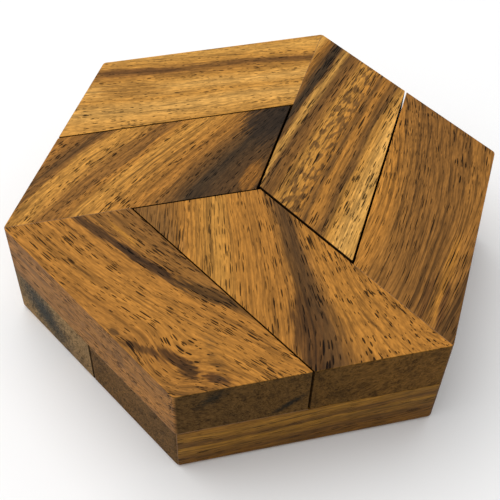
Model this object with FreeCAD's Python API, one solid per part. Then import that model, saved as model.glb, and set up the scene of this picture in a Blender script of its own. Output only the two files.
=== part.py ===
import FreeCAD, Part
import math
import os

# A three-piece hexagonal burr puzzle made of wooden bars, in millimetres, +Z up.
#
# The puzzle is a flat hexagon, two layers thick. Each layer holds six bars, and every
# bar is a parallelogram with 60 and 120 degree corners. Three outer bars lie along a
# side of the hexagon and three inner bars run from a corner to the centre. The bottom
# layer has the top layer's plan, turned 60 degrees about the centre.
#
# A puzzle piece is one outer and one inner bar of each layer, glued end to face within
# a layer and face to face between layers. The three pieces are alike, 120 degrees
# apart. Each lies over one neighbour and under the other, so none can be lifted out:
# all three slide apart in the plane at the same time.
#
# The origin is the centre of the underside, and +X runs to the hexagon's right corner.
# The left piece stays, the right piece slides out along +X, and the rear piece slides
# out as far at 60 degrees to it.

# Overall sizes
HEXAGON_SIDE = 60.0      # one side of the hexagon, and its centre to a corner
LAYER_THICKNESS = 15.25  # one layer of bars

# Bars
INNER_BAR_WIDTH = 30.3   # along the hexagon's side; the outer bar takes what is left

# Joints and play
GLUE_THICKNESS = 0.1     # every glue line, and the play between layers not glued
BASE_GAP = 0.4           # both gaps of each piece's bottom bars

# Worn edges
EDGE_RADIUS = 1.2         # the hexagon's upright corners and the edge that it stands on
TOP_EDGE_RADIUS = 0.3     # the edge round the top face
GAP_CORNER_RADIUS = 0.2   # a bar's upright edges beside a gap
GAP_EDGE_RADIUS = 0.2     # a gap's edges in the top face and in the underside

# Each piece's name, its turn about +Z in degrees, and the play of its top bars: the
# closing gap is beside the outer bar and opens as the pieces slide apart, the running
# gap is at the inner bar's end and stays as it is.
PIECES = (
    ("left_piece", 0.0, 0.3, 0.6),
    ("rear_piece", -120.0, 0.35, 0.65),
    ("right_piece", 120.0, 0.5, 0.25),
)

# The plan of the left piece's top bars; the bottom bars are turned by BOTTOM_TURN.
BOTTOM_TURN = 60.0
LEFT, FRONT_LEFT, FRONT_RIGHT = 180.0, 240.0, 300.0
REAR_RIGHT, REAR_LEFT = 60.0, 120.0

CENTRE = FreeCAD.Vector(0, 0, 0)
UP = FreeCAD.Vector(0, 0, 1)
TOP_LAYER_Z = LAYER_THICKNESS + GLUE_THICKNESS
TOTAL_HEIGHT = TOP_LAYER_Z + LAYER_THICKNESS


def along(angle, distance):
    """The vector of this length at this angle from +X."""
    radians = math.radians(angle)
    return FreeCAD.Vector(math.cos(radians), math.sin(radians), 0) * distance


def corner(angle):
    """The hexagon's corner at this angle."""
    return along(angle, HEXAGON_SIDE)


def turned(outline, angle):
    """The outline turned about the centre."""
    spin = FreeCAD.Rotation(UP, angle)
    return [spin.multVec(point) for point in outline]


def crossing(start_a, way_a, start_b, way_b):
    """Where two lines in the plan meet."""
    reach = (start_b - start_a).cross(way_b).z / way_a.cross(way_b).z
    return start_a + way_a * reach


def inset(outline, depths):
    """Moves each edge of a convex anticlockwise outline inwards by its own depth."""
    lines = []
    for start, end, depth in zip(outline, outline[1:] + outline[:1], depths):
        way = end - start
        inwards = UP.cross(way)
        inwards.normalize()
        lines.append((start + inwards * depth, way))
    return [crossing(*lines[i - 1], *lines[i]) for i in range(len(lines))]


def prism(outline, bottom, height):
    """A plan outline raised from a height above the base."""
    points = [point + UP * bottom for point in outline]
    wire = Part.makePolygon(points + points[:1])
    return Part.Face(wire).extrude(UP * height)


def edge_at(solid, point):
    """The solid's edge that passes through a point."""
    place = Part.Vertex(point)
    return min(solid.Edges, key=lambda edge: edge.distToShape(place)[0])


def worn_bar(outline, bottom, face_z, free_corners, free_sides):
    """A bar with its free upright edges rounded, and its free edges in the face that shows."""
    bar = prism(outline, bottom, LAYER_THICKNESS)
    half_way = UP * (bottom + LAYER_THICKNESS / 2)
    uprights = [edge_at(bar, outline[i] + half_way) for i in free_corners]
    bar = bar.makeFillet(GAP_CORNER_RADIUS, uprights)
    middles = [(outline[i] + outline[(i + 1) % 4]) / 2 for i in free_sides]
    rims = [edge_at(bar, middle + UP * face_z) for middle in middles]
    return bar.makeFillet(GAP_EDGE_RADIUS, rims)


def finished_hexagon():
    """The whole hexagon with its worn edges, which every bar is sanded to."""
    outline = [corner(60.0 * step) for step in range(6)]
    body = prism(outline, 0, TOTAL_HEIGHT)
    worn = [edge for edge in body.Edges if edge.CenterOfMass.z < TOTAL_HEIGHT - TOP_EDGE_RADIUS]
    body = body.makeFillet(EDGE_RADIUS, worn)
    top_rim = [edge for edge in body.Edges if edge.BoundBox.ZMin > TOTAL_HEIGHT - TOP_EDGE_RADIUS]
    return body.makeFillet(TOP_EDGE_RADIUS, top_rim)


def outer_outline(closing_gap):
    """The left piece's outer bar in plan. Its last edge is its end against the inner bar."""
    return inset(
        [
            corner(LEFT),
            corner(FRONT_LEFT),
            corner(FRONT_RIGHT) + along(LEFT, INNER_BAR_WIDTH),
            along(LEFT, INNER_BAR_WIDTH),
        ],
        (0, 0, closing_gap, 0),
    )


def inner_outline(running_gap):
    """The left piece's inner bar in plan. Its first edge is the face that is glued."""
    return inset(
        [
            corner(LEFT),
            CENTRE,
            along(REAR_RIGHT, INNER_BAR_WIDTH),
            corner(LEFT) + along(REAR_RIGHT, INNER_BAR_WIDTH),
        ],
        (0, running_gap, 0, 0),
    )


def layer_solids(outer, inner, bottom, face_z):
    """One layer of a piece: its outer bar, its inner bar and the glue between them."""
    cut = inset(outer, (0, 0, 0, GLUE_THICKNESS))
    glue = [outer[3], outer[0], cut[0], cut[3]]
    return {
        "outer_bar": worn_bar(cut, bottom, face_z, free_corners=(2,), free_sides=(2,)),
        "inner_bar": worn_bar(inner, bottom, face_z, free_corners=(2, 3), free_sides=(1, 2)),
        "bar_glue": prism(glue, bottom, LAYER_THICKNESS),
    }


def glue_between(top_outline, bottom_outline):
    """The glue where a top bar lies on one of its own piece's bottom bars."""
    top = prism(top_outline, LAYER_THICKNESS, GLUE_THICKNESS)
    return top.common(prism(bottom_outline, LAYER_THICKNESS, GLUE_THICKNESS))


def piece_solids(turn, closing_gap, running_gap):
    """Every solid of one puzzle piece, by its name within the piece."""
    top_outer = turned(outer_outline(closing_gap), turn)
    top_inner = turned(inner_outline(running_gap), turn)
    base_outer = turned(outer_outline(BASE_GAP), turn + BOTTOM_TURN)
    base_inner = turned(inner_outline(BASE_GAP), turn + BOTTOM_TURN)

    solids = {}
    for name, solid in layer_solids(top_outer, top_inner, TOP_LAYER_Z, TOTAL_HEIGHT).items():
        solids["top_" + name] = solid
    for name, solid in layer_solids(base_outer, base_inner, 0, 0).items():
        solids["bottom_" + name] = solid

    corner_patch = glue_between(top_outer, base_outer)
    side_patch = glue_between(top_outer, base_inner)
    solids["layer_glue"] = corner_patch.fuse(side_patch).removeSplitter()
    solids["centre_glue"] = glue_between(top_inner, base_inner)
    return solids


os.makedirs("parts", exist_ok=True)
whole = finished_hexagon()
for piece, turn, closing_gap, running_gap in PIECES:
    for name, solid in piece_solids(turn, closing_gap, running_gap).items():
        sanded = solid.common(whole)
        sanded.Solids[0].exportStep("parts/" + piece + "_" + name + ".step")
        print(piece, name, len(sanded.Solids), round(sanded.Volume, 1), sanded.isValid())
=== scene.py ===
import math

import bmesh
import bpy
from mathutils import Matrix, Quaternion, Vector


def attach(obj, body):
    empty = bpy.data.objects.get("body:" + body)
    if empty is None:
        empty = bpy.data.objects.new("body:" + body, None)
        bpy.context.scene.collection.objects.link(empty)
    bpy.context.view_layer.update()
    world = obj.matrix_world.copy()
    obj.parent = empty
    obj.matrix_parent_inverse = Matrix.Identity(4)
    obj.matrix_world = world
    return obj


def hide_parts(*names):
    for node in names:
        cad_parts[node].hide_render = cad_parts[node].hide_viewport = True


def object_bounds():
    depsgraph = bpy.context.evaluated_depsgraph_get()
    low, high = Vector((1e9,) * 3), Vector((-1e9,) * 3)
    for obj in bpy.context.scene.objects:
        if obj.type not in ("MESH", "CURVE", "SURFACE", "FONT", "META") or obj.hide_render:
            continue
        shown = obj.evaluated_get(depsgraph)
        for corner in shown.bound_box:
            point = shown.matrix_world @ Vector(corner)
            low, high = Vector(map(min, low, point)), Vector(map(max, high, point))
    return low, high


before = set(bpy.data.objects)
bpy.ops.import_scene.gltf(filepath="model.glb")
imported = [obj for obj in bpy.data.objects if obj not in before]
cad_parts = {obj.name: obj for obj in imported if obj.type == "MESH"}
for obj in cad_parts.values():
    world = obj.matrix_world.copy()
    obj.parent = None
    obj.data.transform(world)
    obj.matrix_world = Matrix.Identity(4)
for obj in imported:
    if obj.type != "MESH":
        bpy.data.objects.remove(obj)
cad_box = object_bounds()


# --- Studio ---------------------------------------------------------------------------
# A pale sheet to stand on, one large soft box high behind the puzzle's left side, and an
# even white room. The top is brightest and the side that faces front is darkest.

def linear(colour):
    """An sRGB hex colour as linear RGBA."""
    parts = [int(colour[i:i + 2], 16) / 255 for i in (1, 3, 5)]
    return [p / 12.92 if p <= 0.04045 else ((p + 0.055) / 1.055) ** 2.4 for p in parts] + [1]


def add(tree, kind, inputs=None, **settings):
    """Adds a node. settings are its properties, and inputs its sockets' values or links."""
    node = tree.nodes.new(kind)
    for key, value in settings.items():
        setattr(node, key, value)
    for socket, value in (inputs or {}).items():
        if isinstance(value, bpy.types.NodeSocket):
            tree.links.new(value, node.inputs[socket])
        else:
            node.inputs[socket].default_value = value
    return node


def new_material(name):
    """An empty material with a Principled shader: its node tree and that shader."""
    material = bpy.data.materials.new(name)
    material.use_nodes = True
    tree = material.node_tree
    return material, tree, tree.nodes["Principled BSDF"]


low, high = cad_box
CENTRE = (low + high) / 2
SIDE = (high.y - low.y) / math.sqrt(3)

# Matt white paper gives a soft shadow and no shine.
FLOOR_SPAN = 3.0
bpy.ops.mesh.primitive_plane_add(size=FLOOR_SPAN, location=(0, 0, low.z))
floor = bpy.context.object
floor.name = "floor"
sheet, sheet_tree, sheet_shader = new_material("matt_white_paper")
sheet_shader.inputs["Base Color"].default_value = linear("#FAFAFA")
sheet_shader.inputs["Roughness"].default_value = 0.9
floor.data.materials.append(sheet)

ROOM_STRENGTH = 0.55
world = bpy.data.worlds.new("white_room")
bpy.context.scene.world = world
world.use_nodes = True
room = world.node_tree.nodes["Background"]
room.inputs["Color"].default_value = (1, 1, 1, 1)
room.inputs["Strength"].default_value = ROOM_STRENGTH

SOFT_BOX_SIZE = 1.2
SOFT_BOX_DISTANCE = 0.9
SOFT_BOX_POWER = 7.5
SOFT_BOX_WAY = Vector((-0.3, 0.35, 1.0)).normalized()
soft_box = bpy.data.lights.new("soft_box", "AREA")
soft_box.size = SOFT_BOX_SIZE
soft_box.energy = SOFT_BOX_POWER
lamp = bpy.data.objects.new("soft_box", soft_box)
lamp.location = CENTRE + SOFT_BOX_WAY * SOFT_BOX_DISTANCE
lamp.rotation_euler = SOFT_BOX_WAY.to_track_quat("Z", "Y").to_euler()
bpy.context.scene.collection.objects.link(lamp)
bpy.context.scene.view_settings.view_transform = "Standard"

CAMERA_AZIMUTH = math.radians(-14.67)
CAMERA_ELEVATION = math.radians(51.3)
CAMERA_ROLL = math.radians(2.25)
CAMERA_DISTANCE = 4.08 * SIDE
CAMERA_LENS = 71.8
CAMERA_NEAREST = 0.01
CAMERA_AIM = CENTRE + Vector((-0.0533, -0.1003, 0)) * SIDE
back = Vector((
    math.sin(CAMERA_AZIMUTH) * math.cos(CAMERA_ELEVATION),
    -math.cos(CAMERA_AZIMUTH) * math.cos(CAMERA_ELEVATION),
    math.sin(CAMERA_ELEVATION),
))
camera = bpy.data.objects.new("camera", bpy.data.cameras.new("camera"))
camera.data.lens = CAMERA_LENS
camera.data.clip_start = CAMERA_NEAREST
camera.location = CAMERA_AIM + back * CAMERA_DISTANCE
camera.rotation_mode = "QUATERNION"
camera.rotation_quaternion = back.to_track_quat("Z", "Y") @ Quaternion((0, 0, 1), CAMERA_ROLL)
bpy.context.scene.collection.objects.link(camera)
bpy.context.scene.camera = camera


# --- Bars -----------------------------------------------------------------------------
# Sawn and planed bars of rain tree wood, glued up, sanded to the hexagon and wiped with
# oil. Each bar is the CAD solid with its triangles merged into whole faces. A worn edge
# takes the normal of the flat beside it, so that flats stay flat and edges shade round.

MM = 0.001
WELD_GAP = 0.001 * MM
FLAT_ANGLE = math.radians(0.5)
SMOOTH_ANGLE = math.radians(35)
FLAT_AREA = 30 * MM ** 2


def bar(node, body, material):
    """The finished bar that stands for a CAD node."""
    name = node.replace("_piece_", "_").replace("_bar", "")
    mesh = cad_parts[node].data.copy()
    mesh.name = name
    shape = bmesh.new()
    shape.from_mesh(mesh)
    bmesh.ops.remove_doubles(shape, verts=shape.verts, dist=WELD_GAP)
    bmesh.ops.dissolve_limit(
        shape, angle_limit=FLAT_ANGLE, verts=shape.verts, edges=shape.edges
    )
    shape.to_mesh(mesh)
    shape.free()
    mesh.materials.clear()
    mesh.materials.append(material)
    mesh.shade_smooth()
    around = [[] for _ in mesh.vertices]
    for face in mesh.polygons:
        for vertex in face.vertices:
            around[vertex].append(face)
    normals = []
    for face in mesh.polygons:
        for vertex in face.vertices:
            near = [other for other in around[vertex]
                    if other.normal.dot(face.normal) > math.cos(SMOOTH_ANGLE)]
            flats = [other for other in near if other.area > FLAT_AREA]
            if face.area > FLAT_AREA:
                normals.append(face.normal.copy())
            elif flats:
                beside = max(flats, key=lambda flat: flat.normal.dot(face.normal))
                normals.append(beside.normal.copy())
            else:
                mean = sum((other.normal * other.area for other in near), Vector())
                normals.append(mean.normalized())
    mesh.normals_split_custom_set(normals)
    piece = bpy.data.objects.new(name, mesh)
    bpy.context.scene.collection.objects.link(piece)
    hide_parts(node)
    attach(piece, body)
    return piece


# Rain tree wood has a coarse open grain: dark pores a few millimetres long, bands of
# gold and near-black brown where the heartwood changes, and ragged figure where the
# grain interlocks. u runs along the grain, v across it in the bar's face, w through it.
# TONES go from the palest gold to the darkest streaks, and end with the olive
# and grey casts that single bars have.
TONES = {
    "straw": "#D2A062", "pale gold": "#C89656", "gold": "#BC8848", "honey": "#B27C3E",
    "amber": "#A8743A", "tan": "#986A38", "brown": "#8A6034", "umber": "#72502E",
    "dark": "#60442A", "deep": "#4A3828", "dark olive": "#664414", "olive": "#7C5418",
    "light olive": "#946A24", "grey brown": "#9A7A5C", "grey tan": "#AE8C6A",
}
APOTHEM = SIDE * math.sqrt(3) / 2
# How deep and how dark the painted shade inside the joints goes.
JOINT_SHADE_DEPTH = 12 * MM
JOINT_SHADE_STRENGTH = 0.65
GRAIN_DIVE = 3.0
PORE_DEPTH = 0.85
STAIN_TEAR = 1.6
STAIN_COVER = 0.92
OIL_TINT = (1.05, 1.12, 0.97)
OIL_DEPTH = 1.2
RELIEF = 0.05 * MM
NOISE_SPAN = {"From Min": 0.3, "From Max": 0.7}
END_ON = {"From Min": 0.2, "From Max": 0.7}


def wood(name, grain, at, bands, seed, bend=0.0, fan=(0.0, 0.0), knot=None, roll=20.0, wander=1.2,
         ragged=0.5, flame=None, marks=(), lines=0.32, fleck=0.14, pores=0.48, pore_long=3.0,
         cloud=0.08, end="#5F4530", soak=0.9, veins=()):
    """Satin oiled rain tree wood, in millimetres, degrees and shares of the tone.

    grain is the direction of u from +X at the place at, and bands the colours by their
    place across the grain from there. bend curves the grain, fan spreads it out below
    and above that line, and knot is (x, y, reach, push) of a knot that it runs round.
    flame is (place, half width, colour) of a band of short ragged figure. Each of marks
    is (x, y, turn, half length, half width, colour) of a stain that ends in the bar, and
    each of veins (x, y, z, turn, lean, half length, half width, colour) of a slanting one.
    roll turns the growth rings about u, wander and ragged move and tear the bands' edges,
    and lines, fleck and cloud are the swing of the fine lines, the flecks and the slow
    changes. pores is how many there are and pore_long their length. end is the colour of
    the end grain, and soak how far it covers the bands.
    """
    material, tree, shader = new_material(name)
    place = add(tree, "ShaderNodeTexCoord")
    turn = [math.radians(angle) for angle in (roll, -GRAIN_DIVE, grain)]
    local = add(
        tree, "ShaderNodeMapping",
        {"Vector": place.outputs["Object"], "Location": (at[0] * MM, at[1] * MM, high.z),
         "Rotation": turn, "Scale": (MM, MM, MM)},
        vector_type="TEXTURE",
    ).outputs[0]
    u, v, w = add(tree, "ShaderNodeSeparateXYZ", {0: local}).outputs

    # The grain's course: v measured from a line that bends, fans out and wanders.
    above = add(tree, "ShaderNodeMath", {0: v, 1: 0.0}, operation="MAXIMUM").outputs[0]
    below = add(tree, "ShaderNodeMath", {0: v, 1: 0.0}, operation="MINIMUM").outputs[0]
    spread = add(tree, "ShaderNodeMath", {0: below, 1: -fan[0]}, operation="MULTIPLY").outputs[0]
    spread = add(tree, "ShaderNodeMath", {0: above, 1: fan[1], 2: spread},
                 operation="MULTIPLY_ADD").outputs[0]
    spread = add(tree, "ShaderNodeMath", {0: u, 1: bend, 2: spread}, operation="MULTIPLY_ADD").outputs[0]
    course = add(tree, "ShaderNodeMath", {0: u, 1: spread, 2: v}, operation="MULTIPLY_ADD").outputs[0]
    for long, wide, push in ((55, 18, wander), (14, 5, wander / 5)):
        at_noise = add(tree, "ShaderNodeVectorMath", {0: local, 1: (1 / long, 1 / wide, 1 / wide)},
                       operation="MULTIPLY").outputs[0]
        sway = add(tree, "ShaderNodeTexNoise", {"Vector": at_noise, "W": seed, "Scale": 1.0, "Detail": 1.0},
                   noise_dimensions="4D").outputs["Fac"]
        sway = add(tree, "ShaderNodeMath", {0: sway, 1: 0.5}, operation="SUBTRACT").outputs[0]
        course = add(tree, "ShaderNodeMath", {0: sway, 1: 4 * push, 2: course},
                     operation="MULTIPLY_ADD").outputs[0]
    if knot:
        x, y, reach, push = knot
        away = add(tree, "ShaderNodeVectorMath",
                   {0: place.outputs["Object"], 1: (x * MM, y * MM, high.z)},
                   operation="DISTANCE").outputs["Value"]
        swell = add(tree, "ShaderNodeMapRange",
                    {"Value": away, "From Min": reach * MM, "From Max": 0.0, "To Max": push},
                    interpolation_type="SMOOTHERSTEP").outputs[0]
        course = add(tree, "ShaderNodeMath", {0: course, 1: swell}).outputs[0]
    flow = add(tree, "ShaderNodeCombineXYZ", {0: u, 1: course, 2: w}).outputs[0]

    def streaks(long, wide, detail, shift=0.0, flat=1.0):
        """Noise drawn out along the grain, from about 0.3 to 0.7."""
        at_noise = add(tree, "ShaderNodeVectorMath", {0: flow, 1: (1 / long, 1 / wide, flat / wide)},
                       operation="MULTIPLY").outputs[0]
        return add(tree, "ShaderNodeTexNoise",
                   {"Vector": at_noise, "W": seed + shift, "Scale": 1.0, "Detail": detail},
                   noise_dimensions="4D").outputs["Fac"]

    # Bands of colour, their edges torn along the grain.
    band = course
    rough_edge = streaks(6, 0.45, 2.0, 0.3)
    for torn in (streaks(20, 2.2, 2.0, 0.2), rough_edge):
        torn = add(tree, "ShaderNodeMath", {0: torn, 1: 0.5}, operation="SUBTRACT")
        band = add(tree, "ShaderNodeMath", {0: torn.outputs[0], 1: 5 * ragged, 2: band},
                   operation="MULTIPLY_ADD").outputs[0]
    first, last = bands[0][0], bands[-1][0]
    share = add(tree, "ShaderNodeMapRange", {"Value": band, "From Min": first, "From Max": last}).outputs[0]
    ramp = add(tree, "ShaderNodeValToRGB", {"Fac": share})
    stops = ramp.color_ramp.elements
    for i, (where, colour) in enumerate(bands):
        spot = (where - first) / (last - first)
        stop = stops[i] if i < 2 else stops.new(spot)
        stop.position = spot
        stop.color = linear(TONES[colour])
    colour = ramp.outputs["Color"]

    if flame:
        where, half, dark = flame
        off = add(tree, "ShaderNodeMath", {0: band, 1: where, 2: half}, operation="COMPARE").outputs[0]
        ragged_figure = add(tree, "ShaderNodeMapRange",
                            {"Value": streaks(2.6, 0.85, 1.0, 1.8), "From Min": 0.46,
                             "From Max": 0.56, "To Max": 0.85}).outputs[0]
        cover = add(tree, "ShaderNodeMath", {0: off, 1: ragged_figure}, operation="MULTIPLY").outputs[0]
        colour = add(tree, "ShaderNodeMix", {"Factor": cover, "A": colour, "B": linear(dark)},
                     data_type="RGBA").outputs["Result"]

    def stained(colour, middle, turns, halves, dark, core, rim):
        """A torn-edged stain, whole inside core and gone at rim times its half sizes."""
        within = add(tree, "ShaderNodeMapping",
                     {"Vector": place.outputs["Object"], "Location": [part * MM for part in middle],
                      "Rotation": [math.radians(angle) for angle in turns],
                      "Scale": [half * MM for half in halves]}, vector_type="TEXTURE").outputs[0]
        out = add(tree, "ShaderNodeVectorMath", {0: within}, operation="LENGTH").outputs["Value"]
        out = add(tree, "ShaderNodeMath", {0: rough_edge, 1: STAIN_TEAR, 2: out},
                  operation="MULTIPLY_ADD").outputs[0]
        cover = add(tree, "ShaderNodeMapRange", {"Value": out, "From Min": rim + STAIN_TEAR / 2,
                                                 "From Max": core + STAIN_TEAR / 2, "To Max": STAIN_COVER},
                    interpolation_type="SMOOTHSTEP").outputs[0]
        return add(tree, "ShaderNodeMix", {"Factor": cover, "A": colour, "B": linear(dark)},
                   data_type="RGBA").outputs["Result"]

    for x, y, angle, half_long, half_wide, dark in marks:
        colour = stained(colour, (x, y, high.z / MM), (0, 0, angle), (half_long, half_wide, 60),
                         dark, 0.5, 1.0)

    # End grain soaks up the oil and goes dark.
    facing = add(tree, "ShaderNodeVectorMath",
                 {0: place.outputs["Normal"], 1: (math.cos(turn[2]), math.sin(turn[2]), 0)},
                 operation="DOT_PRODUCT").outputs["Value"]
    end_on = add(tree, "ShaderNodeMath", {0: facing}, operation="ABSOLUTE").outputs[0]
    soaked = add(tree, "ShaderNodeMapRange", {"Value": end_on, **END_ON, "To Max": soak}).outputs[0]
    colour = add(tree, "ShaderNodeMix", {"Factor": soaked, "A": colour, "B": linear(end)},
                 data_type="RGBA").outputs["Result"]

    for x, y, z, angle, lean, half_long, half_wide, dark in veins:
        colour = stained(colour, (x, y, z), (0, lean, angle), (half_long, 30, half_wide), dark, 0.1, 1.2)

    # Thin dark growth lines, fibres, flecks and slow changes of tone.
    tones = []
    for long, wide in ((45, 1.1), (22, 0.42)):
        growth = streaks(long, wide, 3.0, flat=0.4)
        tones.append(add(tree, "ShaderNodeMapRange",
                         {"Value": growth, "From Min": 0.36, "From Max": 0.48,
                          "To Min": 1 - lines, "To Max": 1 + lines / 6}).outputs[0])
    fibre = streaks(5, 0.3, 2.0, 0.6)
    flecks = streaks(1.5, 0.45, 1.0, 1.5)
    clouds = streaks(7, 3.5, 3.0, 0.9)
    for noise, swing in ((fibre, 0.75 * lines), (flecks, fleck), (clouds, cloud)):
        tones.append(add(tree, "ShaderNodeMapRange", {"Value": noise, **NOISE_SPAN, "To Min": 1 - swing,
                                                      "To Max": 1 + swing}).outputs[0])

    # Pores: long thin hollows, each of its own size, crowded in some growth rings.
    crowd = add(tree, "ShaderNodeMapRange",
                {"Value": streaks(20, 2.2, 1.0, 1.2), "From Min": 0.35, "From Max": 0.65,
                 "To Min": 0.5 * pores, "To Max": 1.1 * pores}).outputs[0]
    pore = None
    for long, wide, size in ((pore_long * 1.7, 0.4, 1.0), (pore_long * 1.1, 0.3, 0.9)):
        at_cell = add(tree, "ShaderNodeVectorMath", {0: flow, 1: (1 / long, 1 / wide, 1 / wide)},
                      operation="MULTIPLY").outputs[0]
        cell = add(tree, "ShaderNodeTexVoronoi", {"Vector": at_cell, "Scale": 1.0})
        luck = add(tree, "ShaderNodeSeparateColor", {0: cell.outputs["Color"]}).outputs[0]
        luck = add(tree, "ShaderNodeMapRange", {"Value": luck, "To Min": -0.35, "To Max": 1.1}).outputs[0]
        reach = add(tree, "ShaderNodeMath", {0: luck, 1: crowd}, operation="MULTIPLY").outputs[0]
        inside = add(tree, "ShaderNodeMath", {0: reach, 1: cell.outputs["Distance"]},
                     operation="SUBTRACT").outputs[0]
        hollow = add(tree, "ShaderNodeMapRange",
                     {"Value": inside, "To Max": size, "From Max": 0.06}).outputs[0]
        pore = add(tree, "ShaderNodeMath", {0: hollow, 1: pore or 0.0}, operation="MAXIMUM").outputs[0]
    shown = add(tree, "ShaderNodeMapRange",
                {"Value": end_on, **END_ON, "To Min": 1.0, "To Max": 0.5}).outputs[0]
    pore = add(tree, "ShaderNodeMath", {0: pore, 1: shown}, operation="MULTIPLY").outputs[0]
    tones.append(add(tree, "ShaderNodeMapRange",
                     {"Value": pore, "To Min": 1.0, "To Max": 1 - PORE_DEPTH}).outputs[0])

    # Painted shade: the faces inside the joints darken the deeper they lie, where shade falls.
    sideways = add(tree, "ShaderNodeVectorMath", {0: place.outputs["Normal"], 1: (1, 1, 0)},
                   operation="MULTIPLY").outputs[0]
    reach_out = add(tree, "ShaderNodeVectorMath", {0: place.outputs["Object"], 1: sideways},
                    operation="DOT_PRODUCT").outputs["Value"]
    upright = add(tree, "ShaderNodeVectorMath", {0: sideways}, operation="LENGTH").outputs["Value"]
    inward = add(tree, "ShaderNodeMath", {0: upright, 1: APOTHEM - MM}, operation="MULTIPLY").outputs[0]
    inward = add(tree, "ShaderNodeMath", {0: inward, 1: reach_out}, operation="SUBTRACT").outputs[0]
    # Painted shade, darker the further a joint face lies in from the outside.
    joint_shade = add(tree, "ShaderNodeMapRange",
               {"Value": inward, "From Max": JOINT_SHADE_DEPTH, "To Max": JOINT_SHADE_STRENGTH}).outputs[0]
    square = add(tree, "ShaderNodeMapRange",
                 {"Value": upright, "From Min": 0.75, "From Max": 0.95}).outputs[0]
    joint_shade = add(tree, "ShaderNodeMath", {0: joint_shade, 1: square}, operation="MULTIPLY").outputs[0]
    tones.append(add(tree, "ShaderNodeMath", {0: 1.0, 1: joint_shade}, operation="SUBTRACT").outputs[0])
    # Edges between flats are painted lighter: partly wear, partly painted highlight.
    rim_wear_and_highlight = add(tree, "ShaderNodeMath", {0: upright, 1: 0.55, 2: 0.3}, operation="COMPARE").outputs[0]
    tones.append(add(tree, "ShaderNodeMath", {0: rim_wear_and_highlight, 1: 0.3, 2: 1.0}, operation="MULTIPLY_ADD").outputs[0])
    tone = tones[0]
    for more in tones[1:]:
        tone = add(tree, "ShaderNodeMath", {0: tone, 1: more}, operation="MULTIPLY").outputs[0]
    colour = add(tree, "ShaderNodeVectorMath", {0: colour, 1: OIL_TINT}, operation="MULTIPLY").outputs[0]
    colour = add(tree, "ShaderNodeVectorMath", {0: colour, "Scale": tone}, operation="SCALE").outputs[0]
    colour = add(tree, "ShaderNodeGamma", {"Color": colour, "Gamma": OIL_DEPTH}).outputs[0]
    tree.links.new(colour, shader.inputs["Base Color"])

    # Oil leaves the fibres satin and the pores dry.
    gloss = add(tree, "ShaderNodeMapRange",
                {"Value": fibre, **NOISE_SPAN, "To Min": 0.60, "To Max": 0.48}).outputs[0]
    rough = add(tree, "ShaderNodeMath", {0: pore, 1: 0.25, 2: gloss}, operation="MULTIPLY_ADD")
    tree.links.new(rough.outputs[0], shader.inputs["Roughness"])
    sheen = add(tree, "ShaderNodeMapRange",
                {"Value": end_on, **END_ON, "To Min": 0.1, "To Max": 0.02}).outputs[0]
    tree.links.new(sheen, shader.inputs["Specular IOR Level"])
    depth = add(tree, "ShaderNodeMath", {0: pore, 1: -1.0, 2: fibre}, operation="MULTIPLY_ADD").outputs[0]
    relief = add(tree, "ShaderNodeBump", {"Height": depth, "Strength": 0.3, "Distance": RELIEF})
    tree.links.new(relief.outputs[0], shader.inputs["Normal"])
    return material


# --- Left piece -----------------------------------------------------------------------
# The piece that stays. Its top outer bar is golden with a dark streak and a knot's edge,
# its top inner bar is crossed by slanting bands, and its bottom bars are plainer.

# Golden, with a dark streak that runs off its edge and the swirl beside a knot.
bar("left_piece_top_outer_bar", "left_piece", wood(
    "golden_rain_tree", grain=-53, at=(-33, -14), seed=1.0, bend=-0.002, knot=(-30, -45, 13, 3.5),
    lines=0.3, pore_long=2.6, end="#5B452C",
    bands=[(-28, "brown"), (-24, "amber"), (-18, "tan"), (-14, "amber"), (-10, "honey"), (1, "amber"),
           (2.5, "tan"), (8, "brown"), (12, "umber")],
    marks=[(-38.7, -6, -51, 14, 1.7, "#5A3E26"), (-29.2, -17.5, -51, 14, 1.7, "#523822"),
           (-17.8, -28, -36, 12, 2.5, "#644626"), (-33.5, -7.5, -56, 6, 1.0, "#B07C3A"),
           (-35, -38.5, -35, 6, 1.2, "#6A4826"), (-28.5, -42.6, -38, 6, 2.0, "#664424"),
           (-25.6, -46.3, -50, 3.4, 2.2, "#55391E"), (-20.8, -49.2, -36, 4.5, 1.4, "#6A4626"),
           (-39.3, -33.6, -45, 1.6, 1.1, "#6A4A2A")],
    veins=[(-5.2, -52, 19.3, 0, -40, 6, 1.3, "#2C2824"), (-22, -52, 27.4, 0, -40, 5, 2.2, "#382F26")],
))
# Slanting gold and brown bands, near-black where they meet the middle.
bar("left_piece_top_inner_bar", "left_piece", wood(
    "banded_rain_tree", grain=36, at=(-28, 13), seed=2.0, bend=0.0022, fan=(-0.01, 0.0),
    pores=0.42, pore_long=1.8, lines=0.32, fleck=0.22,
    bands=[(-28, "umber"), (-22, "dark"), (-16, "deep"), (-11, "brown"), (-8, "amber"), (0, "gold"),
           (2, "honey"), (3, "brown"), (6, "tan"), (9, "gold"), (11.5, "gold"), (12.5, "brown"),
           (14, "umber"), (19, "amber")],
    marks=[(9.5, 23, 43, 14, 8, "#3B2D24"), (-1.0, 4, 58, 7, 2.6, "#946430")],
))
# Olive gold with straight lines along it.
bar("left_piece_bottom_outer_bar", "left_piece", wood(
    "olive_rain_tree", grain=-2, at=(10, -45), seed=3.0, roll=70, lines=0.34, pores=0.4, pore_long=4.0,
    bands=[(-33, "dark olive"), (-28, "olive"), (-26, "dark olive"), (-22, "light olive"),
           (-21, "dark olive"), (-18, "light olive"), (-15, "olive")],
))
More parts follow.
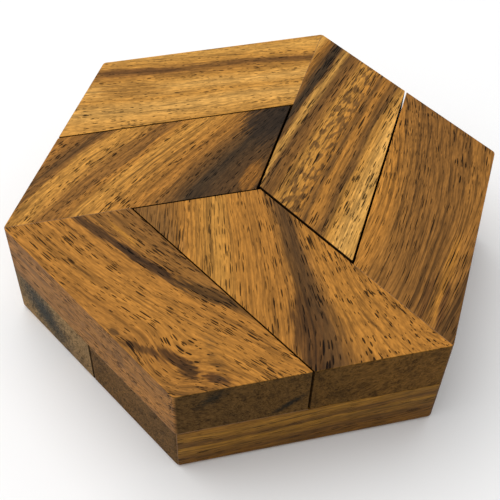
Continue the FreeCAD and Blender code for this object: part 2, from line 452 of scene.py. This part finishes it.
# Plain mid brown, its end grain a little lighter than the others have.
bar("left_piece_bottom_inner_bar", "left_piece", wood(
    "brown_rain_tree", grain=60, at=(-30, -25), seed=4.0, end="#6E5339",
    bands=[(-14, "brown"), (-4, "amber"), (4, "tan"), (14, "amber")],
))

# --- Rear piece -----------------------------------------------------------------------
# Its top outer bar is the palest, straight and finely mottled. Its top inner bar has
# stripes from gold to near-black almost along the bar.

# Pale gold, fine and mottled, with one thin brown streak.
bar("rear_piece_top_outer_bar", "rear_piece", wood(
    "pale_rain_tree", grain=-5.5, at=(-10, 40), seed=5.0, bend=-0.0006,
    fan=(-0.008, -0.001), pores=0.38, pore_long=1.4, lines=0.24, fleck=0.22, cloud=0.1,
    bands=[(-14, "gold"), (-7.5, "straw"), (-4, "gold"), (-1, "straw"), (2.5, "gold"), (4.5, "tan"),
           (5.5, "brown"), (7.5, "gold"), (10.5, "pale gold"), (14, "gold")],
    marks=[(-22, 46.6, -7, 17, 1.5, "#76502C"), (13, 44.6, -5, 22, 1.0, "#7A542E"),
           (-25, 40, -4, 11, 4, "#AE7E44")],
))
# Gold and near-black stripes with a band of ragged figure.
bar("rear_piece_top_inner_bar", "rear_piece", wood(
    "striped_rain_tree", grain=51, at=(19, 12), seed=6.0, bend=0.0007,
    fan=(-0.002, 0.002), ragged=0.35, wander=0.3, flame=(-0.7, 2.7, "#745230"), pores=0.52, pore_long=3.4,
    bands=[(-18, "pale gold"), (-14, "straw"), (-10.5, "gold"), (-9, "umber"), (-7.5, "tan"),
           (-6, "honey"), (-4.5, "umber"), (-3, "honey"), (0, "gold"), (2, "gold"), (4, "brown"),
           (6.5, "umber"), (8, "pale gold"), (9.2, "umber"), (10, "deep"), (11, "deep"),
           (12, "umber"), (14, "honey"), (16, "pale gold")],
))
# Grey brown with one slate grey cloud.
bar("rear_piece_bottom_outer_bar", "rear_piece", wood(
    "grey_streaked_rain_tree", grain=60, at=(-45, 10), seed=7.0, end="#74624E",
    soak=0.3, veins=[(-54.6, -9.4, 9, -60, 35, 14, 8, "#3C3E42")],
    bands=[(-20, "grey brown"), (-8, "grey tan"), (0, "grey brown"), (8, "grey tan"), (20, "grey brown")],
))
# Plain amber with darker edges.
bar("rear_piece_bottom_inner_bar", "rear_piece", wood(
    "plain_rain_tree", grain=0, at=(20, 12), seed=8.0,
    bands=[(-14, "brown"), (0, "amber"), (14, "brown")],
))

# --- Right piece ----------------------------------------------------------------------
# Its top outer bar is an even reddish brown with fine dark lines. Its top inner bar is
# orange with long pores, and a brown band crosses it towards the front.

# Even reddish brown with long fine dark lines.
bar("right_piece_top_outer_bar", "right_piece", wood(
    "reddish_rain_tree", grain=61, at=(40, -12), seed=9.0, bend=-0.0035,
    fan=(0.01, -0.001), pores=0.42, pore_long=4.5, lines=0.42, cloud=0.05,
    bands=[(-17, "umber"), (-13, "umber"), (-10, "tan"), (-7.5, "tan"), (-5, "brown"), (5, "brown"),
           (8, "tan"), (10, "amber"), (13, "honey")],
    marks=[(34.5, -35, 57, 16, 1.6, "#AC783A"), (27, -41, 56, 14, 1.0, "#704C2A"),
           (31, -42, 58, 12, 0.9, "#684628")],
))
# Orange gold with long dark pores and one brown band across.
bar("right_piece_top_inner_bar", "right_piece", wood(
    "orange_rain_tree", grain=-94, at=(3, -24), seed=10.0, end="#674B2A", bend=0.0015,
    fan=(0.009, -0.022), pore_long=3.4, lines=0.3,
    bands=[(-36, "brown"), (-28, "tan"), (-24, "honey"), (-16, "gold"), (-12, "honey"), (-4, "amber"),
           (-2, "tan"), (-1, "umber"), (1, "dark"), (2.5, "umber"), (3.5, "tan"), (5, "honey"),
           (20, "amber")],
    marks=[(0.6, -44, 88, 14, 4.2, "#664526"), (-26, -5, -70, 13, 5, "#8A6238")],
))
# Plain warm tan with darker edges.
bar("right_piece_bottom_outer_bar", "right_piece", wood(
    "warm_rain_tree", grain=-60, at=(45, 10), seed=11.0,
    bands=[(-14, "brown"), (0, "tan"), (14, "umber")],
))
# Plain dark brown.
bar("right_piece_bottom_inner_bar", "right_piece", wood(
    "dark_rain_tree", grain=60, at=(20, -26), seed=12.0,
    bands=[(-14, "umber"), (0, "dark"), (14, "brown")],
))

# --- Glue lines -----------------------------------------------------------------------
# Thin lines of yellow wood glue that has gone amber and holds a little sanding dust.

DUST_GRAIN = 2 * MM
glue, glue_tree, glue_shader = new_material("aged_wood_glue")
spot = add(glue_tree, "ShaderNodeTexCoord")
dust = add(glue_tree, "ShaderNodeTexNoise", {"Vector": spot.outputs["Object"], "Scale": 1 / DUST_GRAIN})
amber = add(glue_tree, "ShaderNodeValToRGB", {"Fac": dust.outputs["Fac"]})
amber.color_ramp.elements[0].color = linear("#5A3C1E")
amber.color_ramp.elements[1].color = linear("#8A6030")
glue_tree.links.new(amber.outputs[0], glue_shader.inputs["Base Color"])
glue_shader.inputs["Roughness"].default_value = 0.5
for node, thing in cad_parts.items():
    if node.endswith("_glue"):
        thing.data.materials.clear()
        thing.data.materials.append(glue)
